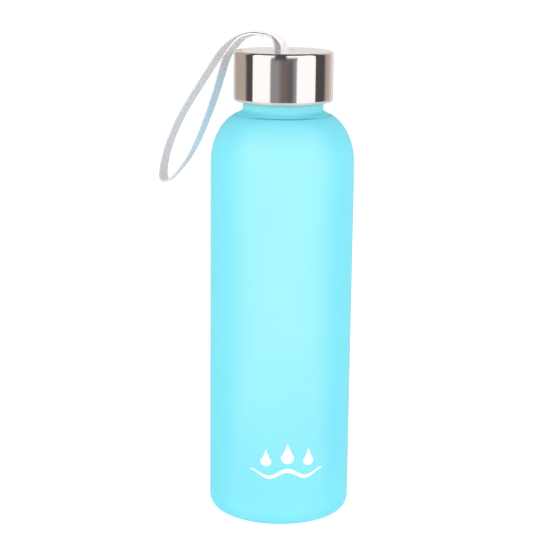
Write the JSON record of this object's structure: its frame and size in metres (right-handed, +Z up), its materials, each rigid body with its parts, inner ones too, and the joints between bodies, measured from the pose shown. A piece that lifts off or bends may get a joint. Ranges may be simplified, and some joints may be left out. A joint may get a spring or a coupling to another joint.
{
  "type": "glass water bottle",
  "caption": "Slim frosted glass water bottle with rounded shoulders, a polished steel screw lid and a flat woven wrist strap looped through the lid's top.",
  "frame": {"origin": "centre of the foot ring on the surface the bottle stands on", "axes": "+Z up along the bottle's axis, -Y towards the side seen first, the strap leaves towards -X and +Y"},
  "size_m": [0.093, 0.0873, 0.2209],
  "materials": {
    "frosted_glass": "frosted, tinted aqua, satin to the touch",
    "polished_steel": "mirror-polished stainless steel",
    "moulded_white": "satin moulded polypropylene",
    "silicone": "translucent white silicone",
    "woven_tape": "grey woven nylon tape with a fine diagonal weave"
  },
  "bodies": {
    "bottle": {"glass_bottle": "frosted_glass"},
    "seal": {"gasket": "silicone"},
    "lid": {"lid_liner": "moulded_white", "lid_shell": "polished_steel", "strap_stop": "moulded_white", "wrist_strap": "woven_tape"}
  },
  "joints": [
    {"name": "lid_lift", "type": "slide", "parent": "bottle", "child": "seal", "axis": [0, 0, 1], "range_m": [0, 0.01693]},
    {"name": "lid_turn", "type": "hinge", "parent": "seal", "child": "lid", "pos_m": [0, 0, 0.2], "axis": [0, 0, 1], "range_deg": [0, 1440]}
  ],
  "couplings": [
    {"joint": "lid_lift", "follows": "lid_turn", "m_per_rad": 0.00067323}
  ]
}
